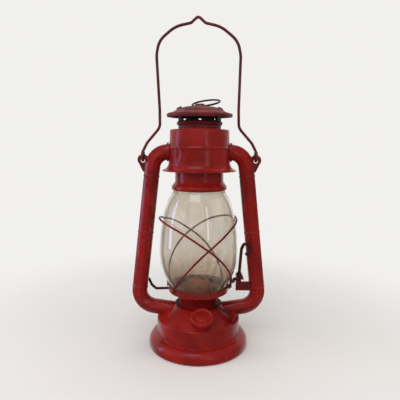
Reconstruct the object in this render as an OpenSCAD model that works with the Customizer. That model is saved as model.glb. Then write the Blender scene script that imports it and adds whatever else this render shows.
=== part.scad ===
// Tubular hurricane lantern, in millimetres.
// +Z is up, the origin is the centre of the tank's foot, and the filler cap faces -Y.
// The two side tubes lie in the XZ plane.

/* [Tank] */
// Radius of the tank's foot
foot_r = 55.7; // [54:0.1:58]
// Radius of the tank's upright wall
wall_r = 46.4; // [45:0.1:47]
// Height at which the wall turns into the sloping top
shoulder_z = 31.6; // [30:0.1:33]
// Height of the tank's top land, where the air chamber sits
land_z = 46.3; // [45.5:0.1:47]
// Sheet thickness of the tank
tank_t = 0.9; // [0.7:0.1:1.1]

/* [Side tubes] */
// Outer radius of the side tubes
tube_r = 8.5; // [8:0.1:8.8]
// Sheet thickness of the side tubes
tube_t = 0.9; // [0.6:0.1:1.2]
// Distance of the tube's axis from the middle, halfway up
tube_mid_x = 59; // [58:0.1:60]
// Lean of the tubes: how far they move out for each millimetre down
tube_lean = 0.11; // [0.09:0.01:0.13]

/* [Canopy and hood] */
// Radius of the canopy at its top
canopy_r = 31.9; // [31:0.1:33]
// Height of the canopy's top
canopy_z = 240.8; // [239:0.1:242]
// Radius of the canopy's flared lower edge
flare_r = 40; // [38:0.5:42]
// Height of the canopy's flared lower edge
flare_z = 197.2; // [196:0.1:199]
// Radius of the chimney below the canopy
chimney_r = 26.3; // [26:0.1:27]
// Radius of the chimney's sleeve above the canopy
sleeve_r = 22.9; // [22:0.1:23]
// Radius of the cap's brim
brim_r = 35.4; // [34:0.1:37]

/* [Globe and guard] */
// Largest radius of the glass globe
globe_r = 43.3; // [42:0.1:43.6]
// Thickness of the glass
glass_t = 2; // [1.5:0.1:2.5]
// Radius of the guard wire
guard_wire_r = 1.1; // [0.7:0.05:1.15]
// How far the guard and the lift lug are turned about the lantern's axis, in degrees
guard_turn = 14; // [10:1:18]

/* [Bail and lever] */
// Radius of the bail wire
bail_wire_r = 1.5; // [1.3:0.1:1.6]
// Sideways lean of the bail's crown, as bent by use
bail_lean = 2.2; // [0:0.1:4]
// Radius of the lever wire
lever_wire_r = 1.7; // [1.3:0.05:1.75]
// Length of the lever's crank arm
crank_r = 10; // [9.5:0.1:10.5]

/* [Ring and knobs] */
// Radius of the lifting ring, to the middle of its wire
ring_r = 15.3; // [14:0.1:17]
// Tilt of the lifting ring above level, in degrees
ring_tilt = 18; // [14:1:30]
// Radius of the filler cap
cap_r = 12; // [11.5:0.1:13]
// Radius of the wick knob
knob_r = 5.4; // [5:0.1:6]

/* [Hidden] */
$fn = 96;

RED = "#96181c";
WIRE_RED = "#821a1d";
BAIL_RED = "#5f2222";
DULL_RED = "#6e2220";
SOOT = "#2a1d1a";
STEEL = "#8d8a80";
BRASS = "#a08040";

// Small gaps: a turning fit, a seat within one body, and a gap between moving bodies
fit = 0.05;
seat = 0.05;
gap = 0.4;
// A little more than any wall, for cuts that go right through
over = 2;

// Slope of the tank's top, from the land's edge down to the shoulder
land_r = 26.2;
slope = (land_z - shoulder_z) / (wall_r - land_r);
slope_deg = atan(slope);

// Air chamber, sunk in the tank's top
chamber_r = 21;
chamber_t = 0.8;
chamber_z0 = 28;
chamber_z1 = 60;

// Side tube path in X and Z: canopy end, upper elbow, lower bend, tank end
mid_z = 128.5;
function tube_x(z) = tube_mid_x + tube_lean * (mid_z - z);
elbow_z = 216.9;
bend_x = 68.4;
bend_z = 44.6;
tank_end_x = 20.6;
low_slope = 0.1405;
// The path can run on past both ends, for a bore
function tube_path(on) = [
    [30.6 - on, 0, elbow_z],
    [tube_x(elbow_z), 0, elbow_z],
    [bend_x, 0, bend_z],
    [tank_end_x - on, 0, bend_z - low_slope * (bend_x - tank_end_x + on)]
];
tube_bends = [0, 17.5, 19, 0];
low_deg = atan(low_slope);

// Bail ears and the bail's end rings
ear_x = 61.3;
eye_z = 212.5;
eye_r = 5;
eye_wire_r = bail_wire_r + 0.05;
ear_hole_z = eye_z - eye_r;
ear_t = 1.2;

// Globe lift: crank pivot, crank plane, lug and travel
pivot = [0, -4, 76];
crank_low = -37.5;
crank_x = 40;
handle_x = 45.6;
crank_y = pivot[1] + crank_r * cos(crank_low);
crank_z = pivot[2] + crank_r * sin(crank_low);
ear_x0 = 42.1;
ear_x1 = 43.3;
lug_x = 36.4;
lug_t = 1.2;

// Wick drive: direction of the shaft outward and down, and its offset from the wick
shaft_az = -28;
shaft_drop = 21.7;
wick_w = 13;
wick_t = 2.4;
sprocket_r = 3.4;
shaft_r = 1;
bush_r = 1.8;
shaft_off = wick_t / 2 + 0.3 + sprocket_r;
shaft_z = 59;
knob_s = 48.5;

// Filler: foot of its axis on the sloping top, and its tilt towards -Y
filler_at = [4, -37, shoulder_z + (wall_r - 37) * slope];
filler_tilt = 24;
filler_r = 8.7;
filler_bore_r = 7.6;
neck_top = 6.4;

// Dished crown of the cap, where the ring's strap sits, and the ring's hinge above it
crown_z = 264.2;
ring_az = 62;
ring_wire_r = 1;
ring_z = crown_z + 1.4;

// Vent slots: how many, their turn from the front, width and height
vent_count = 8;
vent_turn = 1.5;
vent_w = 5;
vent_z0 = 249.9;
vent_z1 = 255.5;
vent_top = 261.5;

// A unit vector, and any vector square to it
function unit(v) = v / norm(v);
function square_to(v) = abs(v[2]) < 0.9 ? unit(cross([0, 0, 1], v)) : unit(cross([1, 0, 0], v));

// Places children with their local x, y and z axes along the given directions
module oriented(origin, ax, ay, az) {
    multmatrix([
        [ax[0], ay[0], az[0], origin[0]],
        [ax[1], ay[1], az[1], origin[1]],
        [ax[2], ay[2], az[2], origin[2]],
        [0, 0, 0, 1]
    ]) children();
}

// A rod from a to b
module rod(a, b, r) {
    d = unit(b - a);
    x = square_to(d);
    oriented(a, x, cross(d, x), d) cylinder(h = norm(b - a), r = r);
}

// How much of each straight a bend takes up
function turn(a, p, b) = acos(max(-1, min(1, unit(p - a) * unit(b - p))));
function setback(path, bends, i) =
    (i == 0 || i == len(path) - 1) ? 0
    : bends[i] * tan(turn(path[i - 1], path[i], path[i + 1]) / 2);

// A solid bent rod along a path, with a bend radius at each inner corner.
// Bends are a hair thicker than the straights, which run a little way into them.
bend_swell = 0.02;
bend_lap = 0.15;
module bent_rod(path, bends, r) {
    last = len(path) - 1;
    for (i = [0 : last - 1]) {
        d = unit(path[i + 1] - path[i]);
        s0 = setback(path, bends, i) - (i == 0 ? 0 : bend_lap);
        s1 = setback(path, bends, i + 1) - (i == last - 1 ? 0 : bend_lap);
        rod(path[i] + d * s0, path[i + 1] - d * s1, r);
    }
    for (i = [1 : last - 1]) {
        a = unit(path[i] - path[i - 1]);
        b = unit(path[i + 1] - path[i]);
        n = unit(b - a * (a * b));
        start = path[i] - a * setback(path, bends, i);
        oriented(start + n * bends[i], -n, a, cross(-n, a))
            rotate_extrude(angle = turn(path[i - 1], path[i], path[i + 1]))
                translate([bends[i], 0]) circle(r + bend_swell);
    }
}

// Points on an arc in a flat outline
function arc(cx, cz, r, a0, a1, n) =
    [for (i = [0 : n]) [cx + r * cos(a0 + (a1 - a0) * i / n), cz + r * sin(a0 + (a1 - a0) * i / n)]];

// A smooth curve through control points
function spline_at(p, i, t) =
    let (a = p[max(i - 1, 0)], b = p[i], c = p[i + 1], d = p[min(i + 2, len(p) - 1)])
    0.5 * (2 * b + (c - a) * t + (2 * a - 5 * b + 4 * c - d) * t * t
        + (3 * b - a - 3 * c + d) * t * t * t);
function spline(p, n) = concat(
    [for (i = [0 : len(p) - 2]) for (k = [0 : n - 1]) spline_at(p, i, k / n)], [p[len(p) - 1]]);

// A tube swept along many points, with flat ends, for wires that no joint turns in
module swept_wire(pts, r, sides = 8) {
    n = len(pts);
    function dir(i) = unit(pts[min(i + 1, n - 1)] - pts[max(i - 1, 0)]);
    function frame_x(i) =
        i == 0 ? square_to(dir(0))
        : let (x = frame_x(i - 1), d = dir(i)) unit(x - d * (x * d));
    frames = [for (i = [0 : n - 1]) let (x = frame_x(i), d = dir(i)) [x, cross(d, x)]];
    verts = [for (i = [0 : n - 1]) for (k = [0 : sides - 1])
        pts[i] + r * (frames[i][0] * cos(360 * k / sides) + frames[i][1] * sin(360 * k / sides))];
    skin = [for (i = [0 : n - 2]) for (k = [0 : sides - 1])
        [i * sides + k, (i + 1) * sides + k, (i + 1) * sides + (k + 1) % sides,
         i * sides + (k + 1) % sides]];
    start_face = [for (k = [0 : sides - 1]) k];
    end_face = [for (k = [sides - 1 : -1 : 0]) (n - 1) * sides + k];
    polyhedron(points = verts, faces = concat(skin, [start_face], [end_face]), convexity = 6);
}

// Turns a flat outline of radius and height into a round shell
module lathe(outline) {
    rotate_extrude() polygon(outline);
}

// Tank: the drawn shell with its rounded foot, upright wall and sloping top

function tank_outline() = concat(
    [[chamber_r + 0.2, land_z], [land_r, land_z], [wall_r - 0.7, shoulder_z + 0.6],
     [wall_r - 0.1, shoulder_z - 0.5], [wall_r, 14.3], [wall_r + 0.7, 13.4]],
    arc(foot_r - 8.7, 4.7, 8.7, 85, 0, 10),
    [[foot_r, 1.3], [foot_r - 0.5, 0.6], [foot_r - tank_t - 0.2, 0.6], [foot_r - tank_t, 1.4]],
    arc(foot_r - 8.7, 4.7, 8.7 - tank_t, 0, 90, 10),
    [[wall_r - tank_t - 0.1, 13.4], [wall_r - tank_t, 14.6], [wall_r - tank_t - 0.1, shoulder_z - 0.9],
     [land_r - 0.3, land_z - tank_t], [chamber_r + 0.2, land_z - tank_t]]
);

module tube_solid(r, on = 0) {
    bent_rod(tube_path(on), tube_bends, r);
}

// The straight lower end of a side tube, for the holes it passes through
module tube_end_cut(r) {
    for (s = [0, 1]) mirror([s, 0, 0])
        rod([50, 0, bend_z - low_slope * (bend_x - 50)], [12, 0, bend_z - low_slope * (bend_x - 12)], r);
}

module on_filler_axis() {
    translate(filler_at) rotate([filler_tilt, 0, 0]) children();
}

module tank_shell() {
    color(RED) difference() {
        lathe(tank_outline());
        tube_end_cut(tube_r + seat);
        on_filler_axis() translate([0, 0, -10]) cylinder(h = 30, r = filler_r + seat);
    }
}

module tank_bottom() {
    color(RED) lathe([
        [0, 2.6], [48.5, 2.6], [50.4, 0], [54, 0], [54.5, 0.5], [54.5, 3.6], [53.7, 3.6],
        [53.7, 0.9], [51, 0.9], [49, 3.4], [0, 3.4]
    ]);
}

module filler_neck() {
    color(RED) on_filler_axis() translate([0, 0, -3]) difference() {
        cylinder(h = neck_top + 3, r = filler_r);
        translate([0, 0, -1]) cylinder(h = neck_top + 5, r = filler_bore_r);
    }
}

// The cup in the tank's top that the side tubes feed, with the burner's seat in its floor
module air_chamber() {
    color(RED) difference() {
        lathe([
            [12, chamber_z0], [chamber_r, chamber_z0], [chamber_r, land_z], [land_r, land_z],
            [land_r, land_z + 0.7], [chamber_r + 1.2, land_z + 0.9], [chamber_r, land_z + 2.4],
            [chamber_r, chamber_z1], [chamber_r - chamber_t, chamber_z1],
            [chamber_r - chamber_t, chamber_z0 + chamber_t], [12, chamber_z0 + chamber_t]
        ]);
        tube_end_cut(tube_r + seat);
        on_shaft_axis() translate([0, 0, 12]) cylinder(h = 18, r = bush_r + seat);
    }
}

// Side tubes

module side_tube() {
    difference() {
        tube_solid(tube_r);
        tube_solid(tube_r - tube_t, over);
    }
}

module side_tube_right() {
    color(RED) side_tube();
}

module side_tube_left() {
    color(RED) mirror([1, 0, 0]) side_tube();
}

// Rings round the tubes where they enter the canopy
module tube_collars() {
    color(WIRE_RED) for (s = [0, 1]) mirror([s, 0, 0]) difference() {
        translate([30, 0, elbow_z]) rotate([0, 90, 0]) cylinder(h = 5.2, r = 10.2);
        tube_solid(tube_r + seat);
        translate([0, 0, elbow_z - 20]) cylinder(h = 40, r = 33.6);
    }
}

// Canopy

module canopy_drum() {
    t = 0.9;
    color(RED) difference() {
        lathe(concat(
            [[29.6, canopy_z - t], [29.6, canopy_z], [canopy_r - 0.8, canopy_z], [canopy_r, canopy_z - 0.8],
             [32.7, 222.8], [33.3, 222], [33.5, 221.1], [33.3, 220.2], [33, 219.6], [33.3, 207.6]],
            arc(flare_r + 1.6, 205.6, 8.1, 178, 254, 6),
            [[flare_r, flare_z + 0.3], [flare_r, flare_z - 0.5], [flare_r - 0.8, flare_z - 0.7]],
            arc(flare_r + 1.3, 205.6, 8.7, 254, 180, 6),
            [[33.3 - t, 207.6], [33 - t, 219.6], [32.5, 221.1], [32.7 - t, 222.8], [canopy_r - t, canopy_z - t]]
        ));
        for (s = [-1, 1])
            translate([s * 33, 0, elbow_z]) rotate([0, 90, 0])
                cylinder(h = 16, r = tube_r + seat, center = true);
    }
}

module canopy_top_plate() {
    color(RED) lathe([
        [sleeve_r + gap, canopy_z - 1.8], [canopy_r - 1.2, canopy_z - 1.8],
        [canopy_r - 1.2, canopy_z - 1], [sleeve_r + gap + 0.8, canopy_z - 1],
        [sleeve_r + gap + 0.8, canopy_z + 0.2], [sleeve_r + gap, canopy_z + 0.2]
    ]);
}

// Bail ears: plates on the elbows' outer sides, with a hole for the bail's end ring

module bail_ear() {
    difference() {
        union() {
            translate([ear_x, ear_t / 2, ear_hole_z + 0.8]) rotate([90, 0, 0]) cylinder(h = ear_t, r = 6);
            translate([0, ear_t / 2, 0]) rotate([90, 0, 0]) linear_extrude(ear_t)
                polygon([[50, 212], [58, 212.5], [65.4, 203.6], [61.6, 195.6], [57, 194], [50, 200]]);
        }
        tube_solid(tube_r + seat);
        translate([ear_x, ear_t, ear_hole_z]) rotate([90, 0, 0]) cylinder(h = 2 * ear_t, r = 2.35);
    }
}

module bail_ear_right() {
    color(WIRE_RED) bail_ear();
}

module bail_ear_left() {
    color(WIRE_RED) mirror([1, 0, 0]) bail_ear();
}

// Lever bracket: an upright plate on the right tube, with a folded ear for the lever

bracket_outline = [
    [ear_x0, 61.2], [58.6, 61.2], [57.6, 71.6], [48.2, 71.6], [48.2, 74], [51.2, 73.8], [50.4, 77.6],
    [48.2, 82.4], [43.6, 82.6], [ear_x0, 81]
];

module lever_bracket() {
    color(WIRE_RED) difference() {
        union() {
            translate([0, 0.6, 0]) rotate([90, 0, 0]) linear_extrude(1.2) polygon(bracket_outline);
            translate([ear_x0, -8, 71.5]) cube([ear_x1 - ear_x0, 7.5, 8.6]);
        }
        tube_solid(tube_r + seat);
        translate([ear_x0 - over, pivot[1], pivot[2]]) rotate([0, 90, 0])
            cylinder(h = 6, r = lever_wire_r + fit);
        for (x = bracket_rivet_x) translate([x, over, bracket_rivet_z]) rotate([90, 0, 0])
            cylinder(h = 2 * over, r = 1.1);
    }
}

bracket_rivet_x = [49, 54];
bracket_rivet_z = 65;

module bracket_rivets() {
    color(WIRE_RED) for (x = bracket_rivet_x) translate([x, 0, bracket_rivet_z]) rotate([90, 0, 0]) {
        translate([0, 0, -1.4]) cylinder(h = 2.8, r = 1.05);
        translate([0, 0, 0.6]) cylinder(h = 0.9, r = 1.9);
        translate([0, 0, -1.5]) cylinder(h = 0.9, r = 1.9);
    }
}

// Burner

module on_shaft_axis() {
    n = [-sin(shaft_az), cos(shaft_az), 0];
    u = [cos(shaft_az) * cos(shaft_drop), sin(shaft_az) * cos(shaft_drop), -sin(shaft_drop)];
    oriented([0, 0, shaft_z] - shaft_off * n, n, cross(u, n), u) children();
}

module wick_block(w, t, z0, z1) {
    rotate([0, 0, shaft_az]) translate([-w / 2, -t / 2, z0]) cube([w, t, z1 - z0]);
}

module burner_body() {
    color(STEEL) difference() {
        lathe([
            [10.6, 26], [11.9, 26], [11.9, 43.2], [20, 43.2], [20, 44], [16.4, 44], [16.4, 60.6],
            [15.6, 60.6], [15.6, 44], [10.6, 44]
        ]);
        for (a = [0 : 30 : 330]) rotate([0, 0, a + 15]) translate([18.2, 0, 40]) cylinder(h = 8, r = 1);
        for (a = [0 : 20 : 340]) rotate([0, 0, a]) translate([12, 0, 48]) rotate([0, 90, 0])
            cylinder(h = 8, r = 1.1);
        on_shaft_axis() translate([0, 0, 8]) cylinder(h = 14, r = 2.2);
    }
}

module burner_cone() {
    color(STEEL) difference() {
        lathe([
            [16.4, 60.7], [16.4, 63], [15.6, 66.4], [13.4, 70.4], [10, 74], [6, 76.2], [0, 77],
            [0, 76.4], [5.8, 75.6], [9.6, 73.5], [12.9, 70], [15, 66.2], [15.7, 63], [15.7, 60.7]
        ]);
        wick_block(17, 5.2, 66, 80);
    }
}

module wick_tube() {
    w = wick_w + 0.6;
    t = wick_t + 0.4;
    color(BRASS) difference() {
        union() {
            wick_block(w + 1.2, t + 1.2, 26, 73.6);
            translate([0, 0, 41]) cylinder(h = 2, r = 10.5);
        }
        wick_block(w, t, 20, 80);
        on_shaft_axis() translate([0, 0, -7]) cylinder(h = 14, r = sprocket_r + 0.4);
    }
}

// Sleeve in the chamber's wall that carries the wick shaft
module shaft_bush() {
    color(BRASS) on_shaft_axis() translate([0, 0, 20]) difference() {
        cylinder(h = 3.4, r = bush_r);
        translate([0, 0, -1]) cylinder(h = 6, r = shaft_r + fit);
    }
}

// Spring between the canopy's top plate and the chimney's shoulder, plain because it is hidden
module hood_spring() {
    color(STEEL) lathe([[24.4, 208.8], [25.6, 208.8], [25.6, canopy_z - 1.9], [24.4, canopy_z - 1.9]]);
}

// Globe and its cradle

globe_points = [
    [29.4, 62.6], [31.5, 67.5], [globe_r - 5.7, 79], [globe_r - 1.5, 91], [globe_r - 0.1, 103],
    [globe_r, 113], [globe_r - 1.3, 131], [globe_r - 4.2, 148], [globe_r - 9, 164],
    [30.3, 171.6], [28.5, 174.8], [28.5, 179.6]
];
// Radius of the globe at a height, for wires that follow it
function globe_at(z) = lookup(z, [for (p = globe_points) [p[1], p[0]]]);

module globe() {
    outside = spline(globe_points, 3);
    inside = [for (i = [len(outside) - 1 : -1 : 0]) [outside[i][0] - glass_t, outside[i][1]]];
    color([0.85, 0.85, 0.8, 0.35]) lathe(concat(outside, inside));
}

module globe_plate() {
    color(RED) difference() {
        lathe([
            [17.4, chamber_z1 + 0.1], [24, chamber_z1 + 0.1], [30, 61.4], [33.6, 62.4], [33.8, 63.2],
            [33.6, 68], [33.2, 68.6], [32.8, 68], [32.8, 63], [29.4, 62.2], [24, 61],
            [18.2, 61], [18.2, 63], [17.4, 63]
        ]);
        for (a = [0 : 20 : 340]) rotate([0, 0, a]) translate([21.4, 0, 58]) cylinder(h = 6, r = 1.3);
    }
}

// Four clips that hold the globe's foot
module globe_clips() {
    color(WIRE_RED) for (a = [45 : 90 : 315]) rotate([0, 0, a + guard_turn])
        translate([26.2, -2, 61.9]) cube([0.8, 4, 6.4]);
}

// A guard hoop rises from the cradle's rim, round the globe, and back to the rim.
// The left one runs a little further out, where the two cross.
// Height of a hoop at each angle from its highest point
hoop_knots = [
    [0, 145.4], [30, 142.4], [60, 135], [90, 120], [110, 105.9], [130, 88.2], [155, 69.2], [160, 65.8]
];
hoop_half = spline(hoop_knots, 4);
hoop_turns = concat(
    [for (i = [len(hoop_half) - 1 : -1 : 1]) [-hoop_half[i][0], hoop_half[i][1]]], hoop_half);
hoop_foot_r = 35;
function hoop_radius(z, out) =
    max(globe_at(z) + 1.6, hoop_foot_r + min(4, 0.36 * max(0, z - 68)))
    + out * min(1, max(0, (z - 68) / 25));
function hoop_path(high_az, out) = [for (p = hoop_turns)
    let (a = high_az + p[0], r = hoop_radius(p[1], out)) [r * cos(a), r * sin(a), p[1]]];

module guard_hoop_left() {
    color(WIRE_RED) swept_wire(hoop_path(180 + guard_turn - 4, 2.4), guard_wire_r);
}

module guard_hoop_right() {
    color(WIRE_RED) swept_wire(hoop_path(guard_turn + 3, 0), guard_wire_r);
}

// Wire that runs behind the left tube and keeps the cradle from turning
guide_path = [
    [-33.95, -1, 63.8], [-48, -1, 63.2], [-53.4, 4, 66], [-57.6, 10.8, 71], [-68, 10.8, 71]
];

module guide_wire() {
    color(WIRE_RED) bent_rod(guide_path, [0, 4, 4, 3, 0], 1.5);
}

// Lug with the slot that the lever's pin lifts
module lift_lug() {
    slot_half = lever_wire_r + 0.45;
    slot_y0 = crank_y;
    slot_y1 = pivot[1] + crank_r;
    color(WIRE_RED) difference() {
        union() {
            translate([30, -0.5, 64.2]) cube([lug_x + lug_t - 30, 11, 1.2]);
            translate([lug_x, -0.5, 64.2]) cube([lug_t, 11, 9.6]);
        }
        cylinder(h = 200, r = 33.85);
        for (y = [slot_y0, slot_y1]) translate([lug_x - 1, y, crank_z]) rotate([0, 90, 0])
            cylinder(h = 4, r = slot_half);
        translate([lug_x - 1, slot_y0, crank_z - slot_half]) cube([4, slot_y1 - slot_y0, 2 * slot_half]);
    }
}

// Hood: chimney, vent band, cap and the strap for its ring

module chimney() {
    color(RED) lathe([
        [sleeve_r - 0.8, 242], [sleeve_r, 242], [sleeve_r, 208.6], [chimney_r, 204.4],
        [chimney_r, 185.6], [chimney_r + 0.6, 185.2], [chimney_r + 0.2, 184.6], [30.2, 179.9],
        [30.2, 177.7], [29.6, 176.1], [29.1, 176.2], [29.4, 177.7], [29.4, 179.6],
        [chimney_r - 0.8, 184.1], [chimney_r - 0.8, 204], [sleeve_r - 0.8, 208.2]
    ]);
}

// An upright slot with round ends
module vent_slot() {
    for (z = [vent_z0 + vent_w / 2, vent_z1 - vent_w / 2]) translate([18, 0, z]) rotate([0, 90, 0])
        cylinder(h = 8, r = vent_w / 2);
    translate([18, -vent_w / 2, vent_z0 + vent_w / 2]) cube([8, vent_w, vent_z1 - vent_z0 - vent_w]);
}

module vent_band() {
    r = sleeve_r + 0.1;
    t = 0.9;
    color(SOOT) difference() {
        lathe([
            [r - t, 242], [r, 242], [r, 245.2], [r + 1.2, 246], [r + 1.8, 247.4], [r + 1.2, 248.8],
            [r, 249.6], [r + 0.2, vent_top], [r + 0.2 - t, vent_top], [r - t, 249.2], [r + 0.5, 248.2],
            [r + 0.8, 247.4], [r + 0.5, 246.6], [r - t, 245.6]
        ]);
        for (i = [0 : vent_count - 1]) rotate([0, 0, -90 + vent_turn + i * 360 / vent_count]) vent_slot();
    }
}

module hood_cap() {
    color(DULL_RED) lathe([
        [0, crown_z], [8.8, crown_z], [10, 264.95], [11.2, 265.05], [14.5, 264.8], [17, 264.4],
        [20, 263.6], [20.8, 262.8], [22.6, 262.7], [24.6, 262.1], [26.8, 260.4], [28.2, 259.5],
        [31, 258.7], [34.3, 257.9], [brim_r, 257], [brim_r, 255.8], [brim_r - 0.5, 253.8],
        [brim_r - 1.2, 253.9], [brim_r - 0.9, 256], [34, 257], [31, 257.8], [28, 258.7], [26.2, 260],
        [24.4, 261.3], [sleeve_r + 0.3, 261.6], [sleeve_r + 0.3, vent_top], [sleeve_r - 0.6, vent_top],
        [sleeve_r - 0.6, 261.8], [20.2, 261.9], [19.6, 262.9], [16.8, 263.6], [14.4, 264],
        [11.2, 264.2], [10.3, 264.1], [9.1, crown_z - 0.8], [0, crown_z - 0.8]
    ]);
}

// Two tabs that are folded over the step of the cap
module cap_tabs() {
    color(DULL_RED) for (a = [4, 184]) rotate([0, 0, a]) translate([0, 2.2, 0]) rotate([90, 0, 0])
        linear_extrude(4.4) polygon([
            [19.2, 263.95], [20.1, 263.7], [20.9, 262.9], [22.6, 262.8], [24.5, 262.3],
            [24.9, 262.9], [23.4, 263.9], [20.6, 265.1], [19.4, 264.9]
        ]);
}

// Small bridge on the crown, which the lifting ring passes under
strap_w = 8;
strap_len = 15;
arch_len = 7;

module on_crown() {
    translate([0, 0, crown_z]) rotate([0, 0, ring_az]) children();
}

module ring_strap() {
    color(DULL_RED) on_crown() translate([0, strap_w / 2, 0]) rotate([90, 0, 0]) linear_extrude(strap_w)
        polygon([
            [-strap_len / 2, 0], [-2.9, 0], [-2.3, 3.2], [2.3, 3.2], [2.9, 0], [strap_len / 2, 0],
            [strap_len / 2, 0.7], [arch_len / 2, 0.7], [2.8, 3.9], [-2.8, 3.9], [-arch_len / 2, 0.7],
            [-strap_len / 2, 0.7]
        ]);
}

module strap_rivets() {
    color(DULL_RED) on_crown() for (x = [-5.5, 5.5]) translate([x, 0, 0.7]) {
        cylinder(h = 0.5, r = 1.7);
        translate([0, 0, 0.5]) cylinder(h = 0.3, r = 1.2);
    }
}

module lifting_ring() {
    color(SOOT) translate([0, 0, ring_z]) rotate([0, 0, ring_az]) rotate([0, -ring_tilt, 0])
        translate([ring_r, 0, 0]) rotate_extrude() translate([ring_r, 0]) circle(ring_wire_r, $fn = 32);
}

// Lift lever: handle with its curled end above the pivot, crank arm and pin below it

lever_path = [
    [51.2, -11, 105.8], [56, -11, 109.6], [57.2, -11, 115.4], [49.6, -11, 118.7],
    [46.9, -10.3, 112.5], [46.2, -8.8, 102], [handle_x, pivot[1], 84],
    [handle_x, pivot[1], pivot[2]], [crank_x, pivot[1], pivot[2]],
    [crank_x, crank_y, crank_z], [35.3, crank_y, crank_z]
];
lever_bends = [0, 3, 2.6, 2.6, 6, 20, 20, 1.9, 1.9, 1.9, 0];

module lift_lever() {
    color(WIRE_RED) bent_rod(lever_path, lever_bends, lever_wire_r);
}

// Bail: from each end ring up and in, along the hood, and over in a flat arch with a peak

function leant(p) = [p[0] - bail_lean * max(0, p[2] - 226) / 130, p[1], p[2]];
bail_half = [
    [ear_x, 0, eye_z + eye_r], [56.6, 0, 226.6], [42.4, 0, 243], [42.2, 0, 262], [44.3, 0, 318],
    [41.4, 0, 332.5], [24, 0, 346.8], [7.5, 0, 350.4], [0, 0, 357.2]
];
half_bends = [0, 7, 12, 60, 30, 22, 30, 5, 3.2];

module bail() {
    n = len(bail_half);
    path = concat(
        [for (p = bail_half) leant(p)],
        [for (i = [n - 2 : -1 : 0]) leant([-bail_half[i][0], 0, bail_half[i][2]])]
    );
    bends = concat(half_bends, [for (i = [n - 2 : -1 : 0]) half_bends[i]]);
    color(BAIL_RED) {
        bent_rod(path, bends, bail_wire_r);
        for (s = [-1, 1]) translate([s * ear_x, 0, eye_z]) rotate([0, 90, 0]) rotate([0, 0, 180])
            rotate_extrude(angle = 325) translate([eye_r, 0]) circle(eye_wire_r);
    }
}

// Filler cap and gasket

module filler_gasket() {
    color("#2a2622") on_filler_axis() translate([0, 0, neck_top + seat]) difference() {
        cylinder(h = 0.65, r = filler_r + 0.4);
        translate([0, 0, -1]) cylinder(h = 3, r = filler_bore_r - 0.35);
    }
}

module filler_cap() {
    z0 = neck_top + 0.75;
    color(RED) on_filler_axis() lathe([
        [0, -1], [filler_bore_r - 0.5, -1], [filler_bore_r - 0.4, 0], [filler_bore_r - 0.4, z0],
        [cap_r - 0.4, z0], [cap_r, z0 + 0.5], [cap_r, z0 + 2.2], [cap_r - 0.5, z0 + 3],
        [cap_r - 1.5, z0 + 3.2], [cap_r - 2.3, z0 + 2.7], [cap_r - 3, z0 + 2], [5, z0 + 2],
        [4.4, z0 + 2.5], [0, z0 + 2.6]
    ]);
}

// Wick drive

module wick_knob() {
    color(RED) on_shaft_axis() translate([0, 0, knob_s]) difference() {
        lathe([
            [0, -2.6], [2.6, -2.6], [3, -1.9], [knob_r - 0.5, -1.9], [knob_r, -1.4],
            [knob_r, 1.4], [knob_r - 0.5, 1.9], [1.8, 1.9], [0, 2.3]
        ]);
        for (a = [0 : 20 : 340]) rotate([0, 0, a]) translate([knob_r + 0.35, 0, -3])
            cylinder(h = 6, r = 0.7, $fn = 16);
    }
}

module wick_shaft() {
    color(STEEL) on_shaft_axis() translate([0, 0, -5.6]) cylinder(h = knob_s - 2.6 + 5.6, r = shaft_r);
}

// Two star wheels that grip the wick
module sprocket_wheels() {
    color(STEEL) on_shaft_axis() for (s = [-3.6, 3.6]) translate([0, 0, s - 0.5]) difference() {
        cylinder(h = 1, r = sprocket_r);
        for (a = [0 : 45 : 315]) rotate([0, 0, a]) translate([sprocket_r + 0.3, 0, -1])
            cylinder(h = 3, r = 1, $fn = 24);
        translate([0, 0, -1]) cylinder(h = 3, r = shaft_r);
    }
}

module wick() {
    color("#d8d2c0") wick_block(wick_w, wick_t, 12, 74.6);
}

tank_shell();
tank_bottom();
filler_neck();
air_chamber();
side_tube_left();
side_tube_right();
tube_collars();
canopy_drum();
canopy_top_plate();
bail_ear_left();
bail_ear_right();
lever_bracket();
bracket_rivets();
burner_body();
burner_cone();
wick_tube();
shaft_bush();
hood_spring();
globe_plate();
globe_clips();
globe();
guard_hoop_left();
guard_hoop_right();
guide_wire();
lift_lug();
chimney();
vent_band();
hood_cap();
cap_tabs();
ring_strap();
strap_rivets();
lifting_ring();
lift_lever();
bail();
filler_gasket();
filler_cap();
wick_knob();
wick_shaft();
sprocket_wheels();
wick();
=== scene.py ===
import math

import bmesh
import bpy
from mathutils import Matrix, Vector


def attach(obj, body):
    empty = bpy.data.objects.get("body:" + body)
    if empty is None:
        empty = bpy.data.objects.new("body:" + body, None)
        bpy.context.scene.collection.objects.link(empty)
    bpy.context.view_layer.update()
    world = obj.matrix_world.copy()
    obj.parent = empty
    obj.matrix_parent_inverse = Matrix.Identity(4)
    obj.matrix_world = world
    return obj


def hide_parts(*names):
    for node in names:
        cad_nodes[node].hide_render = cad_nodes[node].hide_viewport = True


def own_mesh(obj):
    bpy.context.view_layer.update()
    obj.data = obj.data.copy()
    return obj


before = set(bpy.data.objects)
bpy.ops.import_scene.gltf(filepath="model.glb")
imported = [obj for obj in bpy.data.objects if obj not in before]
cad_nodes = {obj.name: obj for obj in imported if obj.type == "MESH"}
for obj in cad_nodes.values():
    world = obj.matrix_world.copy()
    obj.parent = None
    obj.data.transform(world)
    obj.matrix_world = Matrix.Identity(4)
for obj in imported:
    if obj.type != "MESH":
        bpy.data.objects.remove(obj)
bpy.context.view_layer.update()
scene = bpy.context.scene
scene.view_settings.view_transform = "Standard"


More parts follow.
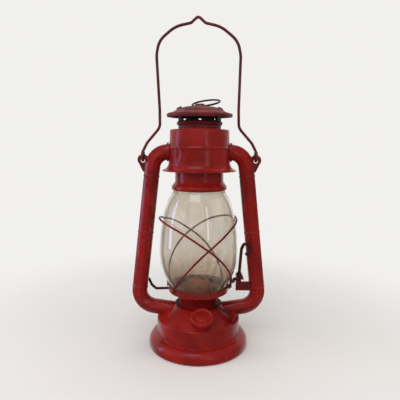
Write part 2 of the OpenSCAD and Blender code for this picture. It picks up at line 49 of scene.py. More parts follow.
# Camera: the photo's own angle, fitted to the lantern's circles. Its place is in metres, its turns in
# degrees.
camera_at = (0.00098, -0.4371, 0.22404)
camera_down = 7.76
camera_roll = 0.44
lens = bpy.data.cameras.new("photo_camera")
lens.sensor_width = 36
lens.lens = 36
lens.clip_start = 0.01
camera = bpy.data.objects.new("photo_camera", lens)
scene.collection.objects.link(camera)
camera.matrix_world = (
    Matrix.Translation(camera_at)
    @ Matrix.Rotation(math.radians(90 - camera_down), 4, "X")
    @ Matrix.Rotation(math.radians(camera_roll), 4, "Z")
)
scene.camera = camera


# Shader nodes. Patterns are laid out in millimetres, in the lantern's own frame.
def linear(code):
    """The linear colour of an sRGB hex code."""
    parts = [int(code[i:i + 2], 16) / 255 for i in (1, 3, 5)]
    return [p / 12.92 if p <= 0.04045 else ((p + 0.055) / 1.055) ** 2.4 for p in parts] + [1.0]


def add(tree, kind, *ordered, out=0, at=None, **named):
    """Adds one node. Capitalised names are its sockets, the others its settings."""
    made = tree.nodes.new("ShaderNode" + kind)
    for name, value in named.items():
        if name[0].islower():
            setattr(made, name, value)
    wanted = {**dict(enumerate(ordered)), **(at or {})}
    wanted.update({name.replace("_", " "): value for name, value in named.items() if name[0].isupper()})
    for key, value in wanted.items():
        if isinstance(value, bpy.types.NodeSocket):
            tree.links.new(value, made.inputs[key])
        else:
            made.inputs[key].default_value = value
    return made.outputs[out] if made.outputs else made


def new_material(name):
    """A material, its node tree, and the place on the lantern in millimetres."""
    material = bpy.data.materials.new(name)
    material.use_nodes = True
    tree = material.node_tree
    tree.nodes.clear()
    metres = add(tree, "TexCoord", out="Object")
    return material, tree, add(tree, "VectorMath", metres, operation="SCALE", Scale=1000.0)


def patches(tree, place, size, low, high, lo=0.0, hi=1.0, detail=3.0, rough=0.55, seed=0.0):
    """Soft-edged random patches, about size millimetres across, that run from lo to hi.

    The noise runs from 0 to 1: below low it gives lo, and above high it gives hi."""
    cloud = add(tree, "TexNoise", noise_dimensions="4D", Vector=place, W=seed,
                Scale=1 / size, Detail=detail, Roughness=rough)
    return add(tree, "MapRange", cloud, interpolation_type="SMOOTHSTEP",
               From_Min=low, From_Max=high, To_Min=lo, To_Max=hi)


def enamel(name, light, deep, grime="#25100d", chip="#241815", rough=(0.2, 0.38), coat=0.1,
           shine=0.32, chipped=0.69, waves=0.3, dirt=0.3, change=None):
    """Baked enamel on sheet. change gives a second colour and where it lies, as a mask from 0 to 1."""
    material, tree, place = new_material(name)
    # Colour: a slow drift, then the second colour, the grime and the chips.
    tone = patches(tree, place, 38, 0.36, 0.64, detail=2)
    color = add(tree, "Mix", tone, out=2, data_type="RGBA", at={6: linear(light), 7: linear(deep)})
    soiled = patches(tree, place, 9, 0.48, 0.74, hi=dirt, detail=6, rough=0.65, seed=3)
    if change:
        other, mask = change
        where = mask(tree, place)
        color = add(tree, "Mix", where, out=2, data_type="RGBA", at={6: color, 7: linear(other)})
    color = add(tree, "Mix", soiled, out=2, data_type="RGBA", at={6: color, 7: linear(grime)})
    bare = patches(tree, place, 3.2, chipped, chipped + 0.02, detail=5, rough=0.62, seed=7)
    color = add(tree, "Mix", bare, out=2, data_type="RGBA", at={6: color, 7: linear(chip)})
    # Gloss: dull where it is chipped, soiled or changed.
    gloss = patches(tree, place, 7, 0.3, 0.7, rough[0], rough[1], detail=4, seed=5)
    worn = add(tree, "Math", bare, 0.6, operation="MULTIPLY")
    gloss = add(tree, "Math", gloss, worn, operation="MAXIMUM")
    gloss = add(tree, "Math", soiled, 0.4, gloss, operation="MULTIPLY_ADD")
    if change:
        matt = add(tree, "Math", where, 0.55, operation="MULTIPLY")
        gloss = add(tree, "Math", gloss, matt, operation="MAXIMUM")
    # Relief: waves in the sheet, orange peel in the enamel and the edges of the chips.
    sheet = add(tree, "Bump", Height=patches(tree, place, 24, 0.0, 1.0, detail=1, seed=2),
                Distance=0.0009, Strength=waves)
    peel = add(tree, "Bump", Height=patches(tree, place, 1.3, 0.0, 1.0, detail=2, seed=4),
               Distance=0.00003, Strength=0.35, Normal=sheet)
    edge = add(tree, "Bump", Height=add(tree, "Math", 1.0, bare, operation="SUBTRACT"),
               Distance=0.00008, Strength=0.8, Normal=peel)
    shader = add(tree, "BsdfPrincipled", Base_Color=color, Roughness=gloss, Normal=edge,
                 Coat_Weight=coat, Coat_Roughness=0.09, Specular_IOR_Level=shine)
    add(tree, "OutputMaterial", shader)
    return material


def metal(name, light, deep, stain, rough, bright=1.0, stained=0.6, size=6.0):
    """Bare metal that has lost its shine: stains are dull and not metallic."""
    material, tree, place = new_material(name)
    tone = patches(tree, place, size, 0.35, 0.65, detail=4)
    color = add(tree, "Mix", tone, out=2, data_type="RGBA", at={6: linear(light), 7: linear(deep)})
    dull = patches(tree, place, size * 0.6, 0.42, 0.66, hi=stained, detail=6, rough=0.7, seed=3)
    color = add(tree, "Mix", dull, out=2, data_type="RGBA", at={6: color, 7: linear(stain)})
    clean = add(tree, "Math", 1.0, dull, operation="SUBTRACT")
    grain = add(tree, "Bump", Height=patches(tree, place, 0.9, 0.0, 1.0, detail=4, seed=4),
                Distance=0.00006, Strength=0.5)
    shader = add(tree, "BsdfPrincipled", Base_Color=color, Normal=grain,
                 Roughness=patches(tree, place, 2.5, 0.3, 0.7, rough[0], rough[1], detail=4, seed=5),
                 Metallic=add(tree, "Math", clean, bright, operation="MULTIPLY"))
    add(tree, "OutputMaterial", shader)
    return material


# Painted shade at the foot of the air chamber, in the corners where the side tubes go in: dark brown,
# broken in patches.
def shade_in_chamber_corners(tree, place):
    height = add(tree, "SeparateXYZ", place, out="Z")
    low = add(tree, "MapRange", height, interpolation_type="SMOOTHSTEP", From_Min=49.6, From_Max=47)
    aside = add(tree, "Math", add(tree, "SeparateXYZ", place, out="X"), operation="ABSOLUTE")
    aside = add(tree, "MapRange", aside, interpolation_type="SMOOTHSTEP", From_Min=15, From_Max=22)
    low = add(tree, "Math", low, aside, operation="MULTIPLY")
    broken = patches(tree, place, 5, 0.3, 0.6, 0.2, 0.7, seed=11)
    return add(tree, "Math", low, broken, operation="MULTIPLY")


# Lamp dirt baked on inside the globe plate's rim, painted lighter and warmer than it is: painted light, in
# place of the light that the glass keeps from it.
def dirt_and_painted_light_inside_plate(tree, place):
    flat = add(tree, "VectorMath", place, (1.0, 1.0, 0.0), operation="MULTIPLY")
    from_axis = add(tree, "VectorMath", flat, operation="LENGTH", out="Value")
    return add(tree, "MapRange", from_axis, interpolation_type="SMOOTHSTEP",
               From_Min=33.2, From_Max=32.6, To_Max=0.92)


# Brown bloom where the dome of the cap gets hottest.
def on_dome(tree, place):
    height = add(tree, "SeparateXYZ", place, out="Z")
    high = add(tree, "MapRange", height, interpolation_type="SMOOTHSTEP", From_Min=260, From_Max=263.5)
    bloom = patches(tree, place, 7, 0.3, 0.7, 0.45, 0.95, seed=12)
    return add(tree, "Math", high, bloom, operation="MULTIPLY")


# Soot round the vent slots, above the band's bead.
def round_slots(tree, place):
    height = add(tree, "SeparateXYZ", place, out="Z")
    return add(tree, "MapRange", height, interpolation_type="SMOOTHSTEP", From_Min=248.9, From_Max=249.7)


# Red enamel, baked on drawn sheet: deep and glossy, with soft waves in its reflections.
red_enamel = enamel("red_enamel", "#87150f", "#72100c", dirt=0.16)
# Red enamel on the air chamber, with grime in patches and painted shade in the corners where the side tubes
# go in: dark brown and matt there.
grimed_and_corner_shaded_enamel = enamel("grimed_and_corner_shaded_enamel", "#700e0c", "#5a0a08", rough=(0.4, 0.6), coat=0.0, shine=0.06,
                       dirt=0.4, change=("#2a1a10", shade_in_chamber_corners))
# Red enamel on the knob, rubbed dull by fingers.
rubbed_enamel = enamel("rubbed_enamel", "#7e120f", "#600d0b", rough=(0.5, 0.7), coat=0.0, shine=0.06,
                       dirt=0.35)
# Red enamel with lamp dirt baked on inside the rim: brown and dull there, and painted light brown to stand
# in for the light that comes through the globe.
lamp_stained_and_painted_light_enamel = enamel("lamp_stained_and_painted_light_enamel", "#7c1410", "#660f0d",
                             change=("#bd8050", dirt_and_painted_light_inside_plate))
# Red enamel baked dull by the heat: brown and matt on the dome, redder at the brim.
heat_dulled_enamel = enamel("heat_dulled_enamel", "#661718", "#501213", rough=(0.42, 0.6), coat=0.03,
                            chipped=0.64, waves=0.4, dirt=0.55, change=("#5f2d21", on_dome))
# Red enamel under soot: matt black at the slots, dark red below.
sooted_enamel = enamel("sooted_enamel", "#6a1a1d", "#4e1215", rough=(0.4, 0.6), coat=0.05, chipped=0.7,
                       waves=0.15, dirt=0.6, change=("#0f0c0b", round_slots))
# Red paint dipped on wire and small plates: thinner, worn and less glossy.
dipped_paint = enamel("dipped_paint", "#731619", "#541013", rough=(0.28, 0.5), coat=0.08, chipped=0.7,
                      waves=0.1, dirt=0.4)
# Dipped paint that hands have worn and browned on the lever and the guide wire: nearly black.
handled_paint = enamel("handled_paint", "#47181a", "#2c100f", rough=(0.3, 0.5), coat=0.08, chipped=0.68,
                       waves=0.1, dirt=0.5)
# Brushed paint on the bail's wire, browned with age.
aged_paint = enamel("aged_paint", "#5f2224", "#45191a", rough=(0.35, 0.55), coat=0.06, chipped=0.68,
                    waves=0.1, dirt=0.45)
# Drawn steel wire, oxidised: nearly black, with a dull sheen.
blackened_steel = metal("blackened_steel", "#2e2723", "#1d1816", "#120f0d", (0.4, 0.6), 0.5, 0.7)
# Drawn steel wire, rusted dark: a dull reddish brown.
rusted_steel = metal("rusted_steel", "#43211b", "#2c1613", "#1d100d", (0.55, 0.75), 0.3, 0.7, 3.0)
# Tinned steel sheet round the flame: yellowed and browned by heat.
tinned_steel = metal("tinned_steel", "#8f8a82", "#6f6a62", "#3a2a20", (0.3, 0.5), 0.9, 0.5)
# Spun brass of the burner's cone, browned by the flame: a dull copper red.
browned_brass = metal("browned_brass", "#bb5f3f", "#9a4c32", "#54331f", (0.45, 0.65), 0.35, 0.5)
# Drawn brass, tarnished: dull yellow-brown, darker in its stains.
tarnished_brass = metal("tarnished_brass", "#8f7442", "#6d5630", "#33281a", (0.3, 0.5), 1.0, 0.5)
# Pressed cork, dark with oil and matt.
oiled_cork = metal("oiled_cork", "#3a2e24", "#241c17", "#17120f", (0.7, 0.9), 0.0, 0.7, 1.5)


# Flat woven cotton wick: diagonal ribs, charred above the burner. Ribs 2 mm apart, coarse enough to show.
def woven_cotton(name):
    material, tree, place = new_material(name)
    ribs = add(tree, "TexWave", bands_direction="DIAGONAL", Vector=place, Scale=0.5, Distortion=0.6,
               out="Fac")
    color = add(tree, "Mix", ribs, out=2, data_type="RGBA",
                at={6: linear("#a89c80"), 7: linear("#cfc5ac")})
    height = add(tree, "SeparateXYZ", place, out="Z")
    charred = add(tree, "MapRange", height, interpolation_type="SMOOTHSTEP", From_Min=72.5, From_Max=74)
    color = add(tree, "Mix", charred, out=2, data_type="RGBA", at={6: color, 7: linear("#151210")})
    shader = add(tree, "BsdfPrincipled", Base_Color=color, Roughness=0.95,
                 Normal=add(tree, "Bump", Height=ribs, Distance=0.00015, Strength=0.8))
    add(tree, "OutputMaterial", shader)
    return material


# Blown soda glass under a thin film of dried soot and dust: clear, with a brownish veil that is stronger
# near the foot and the lip, and slow waves that bend the reflections.
def blown_glass(name):
    material, tree, place = new_material(name)
    height = add(tree, "SeparateXYZ", place, out="Z")
    cloud = patches(tree, place, 30, 0.35, 0.75, 0.15, 0.4, detail=4, seed=6)
    foot = add(tree, "MapRange", height, interpolation_type="SMOOTHSTEP",
               From_Min=120, From_Max=62, To_Max=0.88)
    lip = add(tree, "MapRange", height, interpolation_type="SMOOTHSTEP",
              From_Min=160, From_Max=178, To_Max=0.45)
    film = add(tree, "Math", cloud, add(tree, "Math", foot, lip, operation="MAXIMUM"), operation="MAXIMUM")
    soot = add(tree, "Mix", foot, out=2, data_type="RGBA", at={6: linear("#c4b6a0"), 7: linear("#b28f6f")})
    tint = add(tree, "Mix", film, out=2, data_type="RGBA", at={6: linear("#f2efe9"), 7: soot})
    waves = add(tree, "Bump", Height=patches(tree, place, 22, 0.0, 1.0, detail=1, seed=8),
                Distance=0.0005, Strength=0.25)
    clear = add(tree, "BsdfPrincipled", Base_Color=tint, Transmission_Weight=1.0, IOR=1.5, Roughness=0.03,
                Normal=waves)
    veil = add(tree, "BsdfPrincipled", Base_Color=linear("#b8aa96"), Roughness=0.6)
    share = add(tree, "Math", film, 0.14, operation="MULTIPLY")
    add(tree, "OutputMaterial", add(tree, "MixShader", share, clear, veil))
    return material


globe_glass = blown_glass("globe_glass")
wick_cotton = woven_cotton("wick_cotton")

CAD_FINISH = {
    red_enamel: ("tank_bottom", "filler_neck", "tube_collars", "canopy_top_plate"),
    rubbed_enamel: ("wick_knob",),
    grimed_and_corner_shaded_enamel: ("air_chamber",),
    lamp_stained_and_painted_light_enamel: ("globe_plate",),
    dipped_paint: ("bail_ear_left", "bail_ear_right", "lever_bracket", "bracket_rivets", "globe_clips",
                   "lift_lug"),
    handled_paint: ("guide_wire", "lift_lever"),
    aged_paint: ("bail",),
    heat_dulled_enamel: ("ring_strap", "strap_rivets", "cap_tabs"),
    sooted_enamel: ("vent_band",),
    blackened_steel: ("lifting_ring", "hood_spring", "shaft_bush"),
    rusted_steel: ("wick_shaft",),
    tinned_steel: ("burner_body", "sprocket_wheels"),
    browned_brass: ("burner_cone",),
    tarnished_brass: ("wick_tube",),
    oiled_cork: ("filler_gasket",),
    wick_cotton: ("wick",),
}
for material, names in CAD_FINISH.items():
    for name in names:
        for holder in cad_nodes[name].material_slots:
            holder.material = material


# Mesh helpers. Points are in millimetres and meshes in metres.
same_point = 1e-4
corner_share = 0.45


def piece(name, verts, faces, material, body, replaced, slot, sharp=42):
    """One visible piece that stands for a CAD node and rides on its body."""
    mesh_edit = bmesh.new()
    points = [mesh_edit.verts.new(Vector(v) / 1000) for v in verts]
    for face in faces:
        mesh_edit.faces.new([points[i] for i in face])
    bmesh.ops.remove_doubles(mesh_edit, verts=mesh_edit.verts, dist=same_point / 1000)
    bmesh.ops.recalc_face_normals(mesh_edit, faces=mesh_edit.faces)
    mesh = bpy.data.meshes.new(name)
    mesh_edit.to_mesh(mesh)
    mesh_edit.free()
    mesh.shade_smooth()
    mesh.set_sharp_from_angle(angle=math.radians(sharp))
    mesh.materials.append(material)
    made = bpy.data.objects.new(name, mesh)
    scene.collection.objects.link(made)
    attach(made, body)
    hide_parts(replaced)
    return made


def loft(rings, closed):
    """Faces between rings of points. A closed loft joins the last ring to the first."""
    count, sides = len(rings), len(rings[0])
    verts = [v for ring in rings for v in ring]
    faces = []
    for i in range(count if closed else count - 1):
        j = (i + 1) % count
        if all((Vector(ring[0]) - Vector(ring[1])).length < same_point for ring in (rings[i], rings[j])):
            continue
        for a in range(sides):
            b = (a + 1) % sides
            faces.append((i * sides + a, i * sides + b, j * sides + b, j * sides + a))
    if not closed:
        faces.append(tuple(range(sides - 1, -1, -1)))
        faces.append(tuple(range((count - 1) * sides, count * sides)))
    return verts, faces


def rounded(points, radius, steps=4):
    """Rounds the corners of a closed outline, apart from those on the axis."""
    out = []
    for i, point in enumerate(points):
        p, a, b = Vector(point), Vector(points[i - 1]), Vector(points[(i + 1) % len(points)])
        if p[0] < same_point:
            out.append(tuple(p))
            continue
        start = p + (a - p).normalized() * min(radius, corner_share * (a - p).length)
        end = p + (b - p).normalized() * min(radius, corner_share * (b - p).length)
        for k in range(steps + 1):
            t = k / steps
            out.append(tuple(start * (1 - t) ** 2 + p * 2 * t * (1 - t) + end * t * t))
    return out


def filled(points, step, closed=True):
    """Adds points so that no stretch is longer than step."""
    out = []
    for i in range(len(points) if closed else len(points) - 1):
        a, b = Vector(points[i]), Vector(points[(i + 1) % len(points)])
        count = max(1, math.ceil((b - a).length / step))
        out += [tuple(a.lerp(b, k / count)) for k in range(count)]
    return out if closed else out + [tuple(points[-1])]


def arc(cx, cz, r, start, end, count):
    """Points on an arc round (cx, cz), from start to end in degrees."""
    turns = [math.radians(start + (end - start) * i / count) for i in range(count + 1)]
    return [(cx + r * math.cos(t), cz + r * math.sin(t)) for t in turns]


def lathe(outline, segments=192, shape=None, place=None):
    """Turns an outline round the axis. shape may move each point by its radius, height and angle."""
    rings = []
    for r, z in outline:
        ring = []
        for k in range(segments):
            angle = 2 * math.pi * k / segments
            rr, zz = shape(r, z, angle) if shape and r > same_point else (r, z)
            point = Vector((rr * math.cos(angle), rr * math.sin(angle), zz))
            ring.append(tuple(place @ point) if place else tuple(point))
        rings.append(ring)
    return rings


def sweep(path, radius, sides, wall=0.0):
    """Rings along a path, as a rod or a hollow tube. radius depends on the place and the turn round it."""
    points = [Vector(p) for p in path]
    side = Vector((0, 1, 0.01))
    outer, inner = [], []
    for i, p in enumerate(points):
        ahead = (points[min(i + 1, len(points) - 1)] - points[max(i - 1, 0)]).normalized()
        side = (side - ahead * side.dot(ahead)).normalized()
        up = ahead.cross(side)
        turns = [2 * math.pi * k / sides for k in range(sides)]
        for rings, inset in ((outer, 0.0), (inner, wall)):
            rings.append([tuple(p + (radius(p, t) - inset) * (side * math.cos(t) + up * math.sin(t)))
                          for t in turns])
    return outer + inner[::-1] if wall else outer


def bent(path, bends, step):
    """Points along straights and round bends."""
    points = [Vector(p) for p in path]
    out = [points[0]]
    for i in range(1, len(points) - 1):
        a, b = (points[i] - points[i - 1]).normalized(), (points[i + 1] - points[i]).normalized()
        turn = a.angle(b)
        inward = (b - a * a.dot(b)).normalized()
        centre = points[i] - a * bends[i] * math.tan(turn / 2) + inward * bends[i]
        count = max(4, math.ceil(turn * bends[i] / step))
        for k in range(count + 1):
            t = turn * k / count
            out.append(centre - inward * bends[i] * math.cos(t) + a * bends[i] * math.sin(t))
    out.append(points[-1])
    return filled([tuple(p) for p in out], step, False)


def spline(points, count):
    """A smooth curve through control points."""
    out = []
    for i in range(len(points) - 1):
        a, b, c, d = (Vector(points[min(max(i + k, 0), len(points) - 1)]) for k in (-1, 0, 1, 2))
        for k in range(count):
            t = k / count
            out.append(tuple(0.5 * (2 * b + (c - a) * t + (2 * a - 5 * b + 4 * c - d) * t * t
                                    + (3 * b - a - 3 * c + d) * t**3)))
    return out + [tuple(points[-1])]


def dent(azimuth, height, wide, tall, depth):
    """A shallow diamond-shaped dent with a faint rim, as a change of radius round one place."""
    def change(r, z, angle):
        across = math.remainder(angle - math.radians(azimuth), 2 * math.pi) * r / wide
        reach = abs(across) ** 1.3 + abs((z - height) / tall) ** 1.3
        return depth * (0.25 * math.exp(-((reach - 2) ** 2)) - math.exp(-reach))
    return change


# Tank: rounded foot, upright wall with slight dents, a shallow seam under the shoulder, and sloping top.
wall_r, foot_r, shoulder_z, land_z, land_r, chamber_r = 46.4, 55.7, 31.6, 46.3, 26.2, 21
foot_round, foot_round_z, tank_t = 8.7, 4.7, 0.9
dented_from, dented_to = 15, 30
tank = (
    [(chamber_r + 0.2, land_z), (land_r, land_z), (wall_r - 0.7, shoulder_z + 0.6),
     (wall_r + 0.15, shoulder_z - 0.1), (wall_r + 0.15, shoulder_z - 0.7), (wall_r - 0.3, shoulder_z - 1.4),
     (wall_r, 28.8), (wall_r, 14.3), (wall_r + 0.5, 13.55)]
    + arc(foot_r - foot_round, foot_round_z, foot_round, 82, 0, 26)
    + [(foot_r, 1.4), (foot_r - 0.5, 0.6), (foot_r - 1.0, 0.6), (foot_r - tank_t, 1.4)]
    + arc(foot_r - foot_round, foot_round_z, foot_round - tank_t, 0, 90, 20)
    + [(wall_r - 1, 13.4), (wall_r - tank_t, 14.6), (wall_r - 0.4 - tank_t, shoulder_z - 1.2),
       (land_r - 0.3, land_z - tank_t), (chamber_r + 0.2, land_z - tank_t)]
)
tank_dents = [dent(-112, 22, 9, 6, 0.35), dent(-48, 25, 12, 5, 0.3), dent(140, 20, 10, 6, 0.5)]


def tank_shape(r, z, angle):
    inside = dented_from < z < dented_to
    return (r + sum(d(r, z, angle) for d in tank_dents), z) if inside else (r, z)


piece("tank_skin", *loft(lathe(filled(rounded(tank, 0.5), 2.5), 192, tank_shape), True),
      red_enamel, "frame", "tank_shell", "red_enamel")

# Canopy: drum with a bead and a flared lower edge, dented on its left front.
canopy_r, canopy_z, flare_r, flare_z = 31.9, 240.8, 40, 197.2
bend_z, bend_outer, bend_inner = 205.6, 8.1, 8.7
drum_from, drum_to = 200, 238
canopy = (
    [(29.6, canopy_z - 0.9), (29.6, canopy_z), (canopy_r - 0.8, canopy_z), (canopy_r, canopy_z - 0.8),
     (32.7, 222.8), (33.3, 222), (33.5, 221.1), (33.3, 220.2), (33, 219.6), (33.3, 207.6)]
    + arc(flare_r + 1.6, bend_z, bend_outer, 178, 254, 14)
    + [(flare_r, flare_z + 0.3), (flare_r, flare_z - 0.5), (flare_r - 0.8, flare_z - 0.7)]
    + arc(flare_r + 1.3, bend_z, bend_inner, 254, 180, 14)
    + [(32.4, 207.6), (32.1, 219.6), (32.5, 221.1), (31.8, 222.8), (canopy_r - 0.9, canopy_z - 0.9)]
)
canopy_dents = [dent(-131, 214.5, 2.6, 5.5, 1.1), dent(-60, 232, 10, 5, 0.25), dent(70, 214, 9, 7, 0.6)]


def canopy_shape(r, z, angle):
    inside = drum_from < z < drum_to
    return (r + sum(d(r, z, angle) for d in canopy_dents), z) if inside else (r, z)


piece("canopy_skin", *loft(lathe(filled(rounded(canopy, 0.5), 1.4), 256, canopy_shape), True),
      red_enamel, "frame", "canopy_drum", "red_enamel")

# Side tubes: two pressed halves that meet in a lengthwise seam at the front, flattened on each side of
# it, with three swaged rings each.
mid_x, lean, mid_z, tube_r, tube_t = 59, 0.11, 128.5, 8.5, 0.9
elbow_x, elbow_z, elbow_r = 30.6, 216.9, 17.5
foot_bend_x, foot_bend_z, foot_bend_r = 68.4, 44.6, 19
end_x, end_slope = 20.6, 0.1405
ring_heights = (190.8, 128.5, 65.9)
seam_from, seam_full, rings_from = 36, 42, 45
seam_turn, outer_flat, inner_flat = (math.radians(angle) for angle in (7, 42, 20))
ridge, ridge_width, furrow, furrow_width, furrow_at = 0.5, 0.9, 0.22, 0.8, 2.1


def swage(z):
    """A raised ring with a shallow furrow on each side."""
    above = math.exp(-(((z - furrow_at) / furrow_width) ** 2))
    below = math.exp(-(((z + furrow_at) / furrow_width) ** 2))
    return ridge * math.exp(-((z / ridge_width) ** 2)) - furrow * (above + below)


for side_name, sign in (("left", -1), ("right", 1)):
    def tube_surface(p, turn):
        outward = sign * math.remainder(math.pi - turn, 2 * math.pi) + seam_turn
        flat, share = (outer_flat, 0.7) if outward > 0 else (inner_flat, 1)
        r = tube_r
        if abs(outward) < 2 * flat:
            r += share * tube_r * (math.cos(flat) / math.cos(abs(outward) - flat) - 1)
        on_upright = min(1, max(0, (abs(p[0]) - seam_from) / (seam_full - seam_from)))
        r = tube_r + (r - tube_r) * on_upright
        return r + (sum(swage(p[2] - z) for z in ring_heights) if abs(p[0]) > rings_from else 0)

    route = [(elbow_x, 0, elbow_z), (mid_x + lean * (mid_z - elbow_z), 0, elbow_z),
             (foot_bend_x, 0, foot_bend_z), (end_x, 0, foot_bend_z - end_slope * (foot_bend_x - end_x))]
    route = [(sign * x, y, z) for x, y, z in route]
    skin = sweep(bent(route, [0, elbow_r, foot_bend_r, 0], 1.0), tube_surface, 72, tube_t)
    piece(f"side_tube_{side_name}_skin", *loft(skin, True),
          red_enamel, "frame", f"side_tube_{side_name}", "red_enamel", 30)

# Chimney, with its shoulder and the flange over the globe's lip.
sleeve_r, chimney_r = 22.9, 26.3
chimney = [
    (sleeve_r - 0.8, 242), (sleeve_r, 242), (sleeve_r, 208.6), (chimney_r, 204.4), (chimney_r, 185.6),
    (chimney_r + 0.6, 185.2), (chimney_r + 0.2, 184.6), (30.2, 179.9), (30.2, 177.7), (29.6, 176.1),
    (29.1, 176.2), (29.4, 177.7), (29.4, 179.6), (chimney_r - 0.8, 184.1), (chimney_r - 0.8, 204),
    (sleeve_r - 0.8, 208.2),
]
piece("chimney_skin", *loft(lathe(filled(rounded(chimney, 0.9), 4), 160), True),
      red_enamel, "hood", "chimney", "red_enamel")

# Hood spring: one coil round the chimney's sleeve, in two lengths. The upper one rides on the frame, and
# the lower one on the globe cradle.
spring_r, spring_wire_r, spring_turns = 25, 0.6, 8
spring_top, spring_middle, spring_foot = 238.3, 224.9, 209.4
cradle_travel, hood_travel = 12, 14


def spring_at(z):
    """The coil's centre line at a height."""
    turn = 2 * math.pi * spring_turns * (spring_top - z) / (spring_top - spring_foot)
    return spring_r * math.sin(turn), spring_r * math.cos(turn), z


for length_name, body, joint, travel, high, low in (
    ("upper", "frame", "globe_lift", cradle_travel, spring_top, spring_middle),
    ("lower", "globe_cradle", "hood_lift", hood_travel, spring_middle, spring_foot),
):
    route = [spring_at(point[2]) for point in filled([(0, 0, high), (0, 0, low)], 0.15, False)]
    coil = sweep(route, lambda p, turn: spring_wire_r, 8)
    coil = piece(f"hood_spring_{length_name}", *loft(coil, False),
                 blackened_steel, body, "hood_spring", "blackened_steel")
    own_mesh(coil)

# Cap, its brim bent down a little at the front and up at the back, and its dome dented.
crown_z, brim_r, vent_top = 264.2, 35.4, 261.5
brim_tilt, brim_from, brim_width = 1.2, 24, 12
buckle, buckle_r, buckle_width = 0.1, 15, 5
cap = [
    (0, crown_z), (8.8, crown_z), (10, 264.95), (11.2, 265.05), (14.5, 264.8), (17, 264.4), (20, 263.6),
    (20.8, 262.8), (22.6, 262.7), (24.6, 262.1), (26.8, 260.4), (28.2, 259.5), (31, 258.7), (34.3, 257.9),
    (brim_r, 257), (brim_r, 255.8), (brim_r - 0.5, 253.8), (brim_r - 1.2, 253.9), (brim_r - 0.9, 256),
    (34, 257), (31, 257.8), (28, 258.7), (26.2, 260), (24.4, 261.3), (sleeve_r + 0.3, 261.6),
    (sleeve_r + 0.3, vent_top), (sleeve_r - 0.6, vent_top), (sleeve_r - 0.6, 261.8), (20.2, 261.9),
    (19.6, 262.9), (16.8, 263.6), (14.4, 264), (11.2, 264.2), (10.3, 264.1), (9.1, crown_z - 0.8),
    (0, crown_z - 0.8),
]


def cap_shape(r, z, angle):
    brim = max(0.0, (r - brim_from) / brim_width) ** 2
    dome = buckle * max(0.0, 1 - ((r - buckle_r) / buckle_width) ** 2)
    z += brim * (brim_tilt * math.sin(angle) + 0.25 * math.sin(2 * angle + 0.6)
                 + 0.14 * math.sin(5 * angle) + 0.08 * math.sin(9 * angle + 1))
    return r, z + dome * (math.sin(3 * angle + 1) + math.sin(7 * angle))


piece("hood_cap_skin", *loft(lathe(filled(rounded(cap, 0.6), 2), 192, cap_shape), True),
      heat_dulled_enamel, "hood", "hood_cap", "heat_dulled_enamel")

# Globe: blown glass with a rounded lip.
globe_r, glass_t, lip_r, lip_z = 43.3, 2, 28.5, 178.6
globe_points = [
    (29.4, 62.6), (31.5, 67.5), (globe_r - 5.7, 79), (globe_r - 1.5, 91), (globe_r - 0.1, 103),
    (globe_r, 113), (globe_r - 1.3, 131), (globe_r - 4.2, 148), (globe_r - 9, 164), (30.3, 171.6),
    (lip_r, 174.8), (lip_r, lip_z),
]
outside = spline(globe_points, 8)
lip = arc(lip_r - glass_t / 2, lip_z, glass_t / 2, 0, 180, 8)[1:-1]
inside = [(r - glass_t, z) for r, z in reversed(outside)]
piece("globe_glass", *loft(lathe(outside + lip + inside, 128), True),
      globe_glass, "globe_cradle", "globe", "glass", 60)

# Guard hoops: each rises from the cradle's rim, round the globe, and back to the rim.
guard_turn, guard_wire_r, hoop_foot_r, hoop_foot_z = 14, 1.1, 35, 68
glass_gap, foot_swell, swell_slope, lean_height = 1.6, 4, 0.36, 25
hoop_knots = [(0, 145.4), (30, 142.4), (60, 135), (90, 120), (110, 105.9), (130, 88.2), (155, 69.2),
              (160, 65.8)]


def globe_at(z):
    """The globe's radius at a height."""
    for (r0, z0), (r1, z1) in zip(globe_points, globe_points[1:]):
        if z0 <= z <= z1:
            return r0 + (r1 - r0) * (z - z0) / (z1 - z0)
    return globe_points[0][0]


def hoop(high, out):
    """One hoop: its top lies in the direction of high, and its sides stand off by out."""
    half = spline(hoop_knots, 12)
    points = []
    for angle, z in [(-a, z) for a, z in half[:0:-1]] + half:
        above_foot = max(0, z - hoop_foot_z)
        r = max(globe_at(z) + glass_gap, hoop_foot_r + min(foot_swell, swell_slope * above_foot))
        r += out * min(1, above_foot / lean_height)
        turn = math.radians(high + angle)
        points.append((r * math.cos(turn), r * math.sin(turn), z))
    return points


for side_name, high, out in (("left", 180 + guard_turn - 4, 2.4), ("right", guard_turn + 3, 0)):
    wire = sweep(hoop(high, out), lambda p, turn: guard_wire_r, 12)
    piece(f"guard_hoop_{side_name}_skin", *loft(wire, False),
          dipped_paint, "globe_cradle", f"guard_hoop_{side_name}", "red_painted_wire")

# Filler cap, with a thick grooved rim and a dished top.
slope = (land_z - shoulder_z) / (wall_r - land_r)
filler_x, filler_out, filler_tilt = 4, 37, 24
filler_foot = Matrix.Translation((filler_x, -filler_out, shoulder_z + (wall_r - filler_out) * slope))
filler = filler_foot @ Matrix.Rotation(math.radians(filler_tilt), 4, "X")
cap_r, cap_z = 12, 7.15
groove, groove_count = 0.14, 36
filler_cap = [
    (0, -1), (7.1, -1), (7.2, 0), (7.2, cap_z), (cap_r - 0.4, cap_z), (cap_r, cap_z + 0.5),
    (cap_r, cap_z + 2.2), (cap_r - 0.5, cap_z + 3), (cap_r - 1.5, cap_z + 3.2), (cap_r - 2.3, cap_z + 2.7),
    (cap_r - 3, cap_z + 2), (5, cap_z + 2), (4.4, cap_z + 2.5), (0, cap_z + 2.6),
]


def grip(r, z, angle):
    edge = 1.0 if r > cap_r - 0.4 and cap_z + 0.3 < z < cap_z + 2.4 else 0.0
    return r - groove * edge * (0.5 + 0.5 * math.cos(groove_count * angle)), z


piece("filler_cap_skin", *loft(lathe(filled(rounded(filler_cap, 0.45), 1.2), 288, grip, filler), True),
      red_enamel, "filler_cap", "filler_cap", "red_enamel")


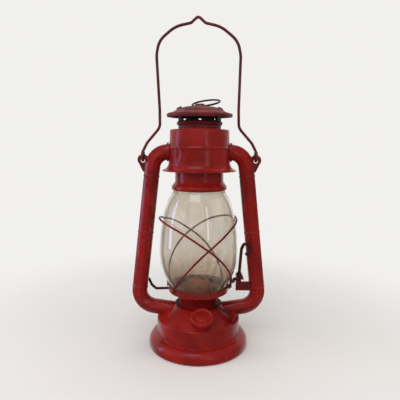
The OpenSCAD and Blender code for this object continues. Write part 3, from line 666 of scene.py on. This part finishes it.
# Plain pale floor, 1.2 metres in radius. It fades into the pale background between 110 and 420 millimetres
# from the lantern's axis.
floor_r, fade_near, fade_far = 1.2, 110, 420
floor_edit = bmesh.new()
bmesh.ops.create_circle(floor_edit, cap_ends=True, radius=floor_r, segments=96)
floor_mesh = bpy.data.meshes.new("floor")
floor_edit.to_mesh(floor_mesh)
floor_edit.free()
floor = bpy.data.objects.new("floor", floor_mesh)
scene.collection.objects.link(floor)
material, tree, place = new_material("pale_floor")
away = add(tree, "VectorMath", place, operation="LENGTH", out="Value")
faded = add(tree, "MapRange", away, interpolation_type="SMOOTHSTEP", From_Min=fade_far,
            From_Max=fade_near)
add(tree, "OutputMaterial", add(tree, "BsdfPrincipled", Base_Color=linear("#dedbd6"), Roughness=0.75,
                                Alpha=faded))
floor_mesh.materials.append(material)
floor.visible_glossy = False  # keeps its pale colour out of the gloss, so that the red stays deep

# Soft light, aimed at the middle of the lantern. The large lamps give even light only, and the windows
# alone show in the gloss. Places and sizes are in metres.
middle = Vector((0, 0, 0.17))
for name, at, size, power, tint, in_gloss in (
    ("soft_front", (-0.15, -1.1, 0.75), (1.0, 1.0), 7.5, "#fff9f2", False),
    ("soft_left", (-1.15, -0.45, 0.65), (0.9, 0.9), 7.0, "#fff9f6", False),
    ("soft_right", (1.15, -0.4, 0.65), (0.9, 0.9), 4.5, "#fff9f2", False),
    ("soft_above", (0.1, 0.15, 1.1), (1.0, 1.0), 6.0, "#ffffff", False),
    ("window_left", (-1.0, 0.02, 0.3), (0.18, 0.75), 2.2, "#b8c0fa", True),
    ("window_front", (0.55, -1.05, 0.42), (0.1, 0.7), 0.8, "#e8ecff", True),
    ("window_above", (-0.2, -0.55, 1.0), (0.6, 0.4), 2.0, "#eef0ff", True),
):
    light = bpy.data.lights.new(name, "AREA")
    light.shape = "RECTANGLE"
    light.size, light.size_y = size
    light.energy = power
    light.color = linear(tint)[:3]
    lamp = bpy.data.objects.new(name, light)
    scene.collection.objects.link(lamp)
    lamp.location = at
    lamp.rotation_euler = (middle - Vector(at)).to_track_quat("-Z", "Y").to_euler()
    lamp.visible_glossy = in_gloss

# World: a dim room, and a pale backdrop that the camera, the glass and the gloss see behind the lantern.
world = bpy.data.worlds.new("pale_room")
scene.world = world
world.use_nodes = True
tree = world.node_tree
tree.nodes.clear()
depth = add(tree, "SeparateXYZ", add(tree, "TexCoord", out="Generated"), out="Y")
behind = add(tree, "MapRange", depth, interpolation_type="SMOOTHSTEP", From_Min=0.1, From_Max=0.6)
mirrored = add(tree, "Math", add(tree, "LightPath", out="Is Glossy Ray"), behind, operation="MULTIPLY")
seen = add(tree, "Math", add(tree, "LightPath", out="Is Camera Ray"),
           add(tree, "LightPath", out="Is Transmission Ray"), operation="MAXIMUM")
seen = add(tree, "Math", seen, mirrored, operation="MAXIMUM")
room = add(tree, "Background", linear("#c4c6cc"), 0.28)
backdrop = add(tree, "Background", linear("#f1f0ee"), 1.0)
add(tree, "OutputWorld", add(tree, "MixShader", seen, room, backdrop))
